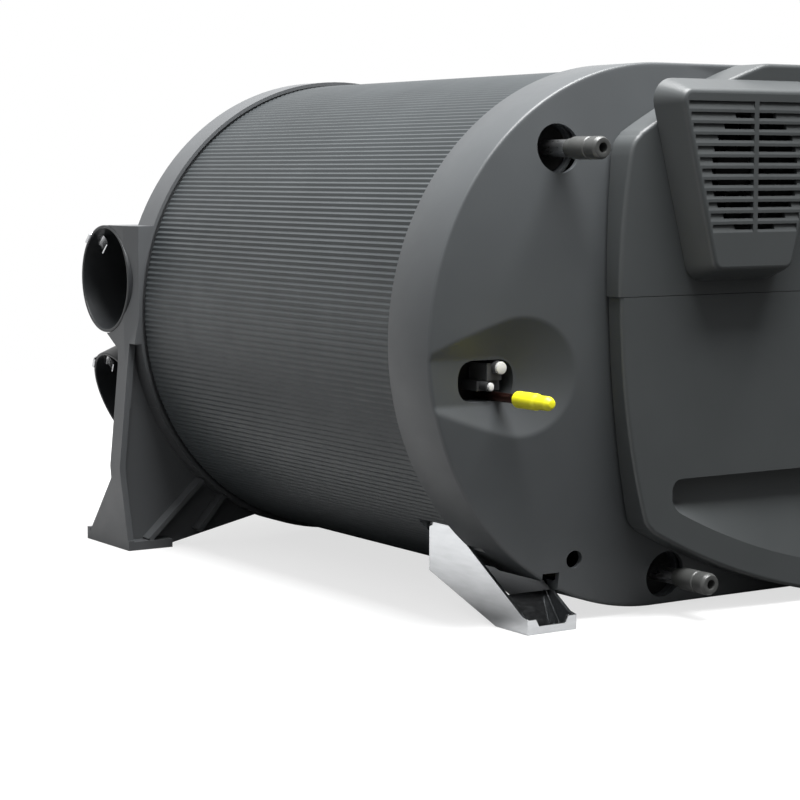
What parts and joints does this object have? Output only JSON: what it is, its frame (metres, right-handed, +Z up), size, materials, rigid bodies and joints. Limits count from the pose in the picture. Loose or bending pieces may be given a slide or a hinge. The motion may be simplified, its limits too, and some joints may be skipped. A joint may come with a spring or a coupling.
{
  "type": "caravan water heater",
  "caption": "Combined water and room air heater for a caravan: a ribbed drum on its side with warm air duct sockets behind and an oval burner head in front.",
  "frame": {"origin": "on the floor, midway between the screw holes of the two rear feet", "axes": "+X along the drum axis towards the burner head, +Y to its overhanging side, +Z up"},
  "size_m": [0.5125, 0.4505, 0.3],
  "materials": {
    "drum_plastic": "fine ribbed satin",
    "frame_plastic": "moulded satin",
    "shell_plastic": "moulded satin",
    "cover_plastic": "moulded satin",
    "socket_plastic": "moulded satin",
    "black_plastic": "moulded satin",
    "black_rubber": "matte",
    "white_plastic": "glossy",
    "yellow_plastic": "soft satin",
    "bright_sheet": "plain bright sheet",
    "zinc_steel": "zinc plated",
    "spring_steel": "bright",
    "stainless_steel": "plain",
    "cast_aluminium": "as cast",
    "foam": "closed cell foam",
    "board_green": "lacquered",
    "brass": "plain"
  },
  "bodies": {
    "heater": {"drum_casing": "drum_plastic", "rear_frame": "frame_plastic", "air_manifold": "shell_plastic", "manifold_screws": "zinc_steel", "duct_socket_near_upper": "socket_plastic", "duct_socket_near_lower": "socket_plastic", "duct_socket_far_upper": "socket_plastic", "duct_socket_far_lower": "socket_plastic", "duct_clips": "spring_steel", "end_cap": "shell_plastic", "lower_cover": "cover_plastic", "upper_cover": "cover_plastic", "intake_grille": "cover_plastic", "front_foot_near": "bright_sheet", "front_foot_far": "bright_sheet", "water_tank": "stainless_steel", "tank_insulation": "foam", "heat_exchanger": "cast_aluminium", "burner_tube": "stainless_steel", "burner_flange": "cast_aluminium", "burner_air_box": "shell_plastic", "glow_plug": "zinc_steel", "flame_sensor": "zinc_steel", "exhaust_pipe": "stainless_steel", "combustion_air_stub": "black_rubber", "blower_housing": "shell_plastic", "blower_lid": "zinc_steel", "blower_motor": "zinc_steel", "fan_shroud": "shell_plastic", "fan_motor": "black_plastic", "control_board": "board_green", "board_posts": "zinc_steel", "connector_block": "black_plastic", "power_plug": "black_plastic", "bus_plug": "black_plastic", "plug_seals": "white_plastic", "fuel_pipe": "spring_steel", "hot_water_pipe": "stainless_steel", "cold_water_pipe": "stainless_steel", "hot_connector": "socket_plastic", "cold_connector": "socket_plastic", "pipe_grommets": "black_rubber", "water_sensor": "brass"},
    "circulation_fan": {"fan_wheel": "black_plastic"},
    "combustion_fan": {"blower_wheel": "black_plastic"},
    "fuel_pipe_cap": {"fuel_cap": "yellow_plastic"}
  },
  "joints": [
    {"name": "circulation_fan_spin", "type": "hinge", "parent": "heater", "child": "circulation_fan", "pos_m": [0.382, 0.032, 0.2415], "axis": [1, 0, 0], "continuous": true},
    {"name": "combustion_fan_spin", "type": "hinge", "parent": "heater", "child": "combustion_fan", "pos_m": [0.349, 0.208, 0.1095], "axis": [1, 0, 0], "continuous": true},
    {"name": "fuel_cap_pull", "type": "slide", "parent": "heater", "child": "fuel_pipe_cap", "axis": [1, 0, 0], "range_m": [0, 0.026]}
  ]
}
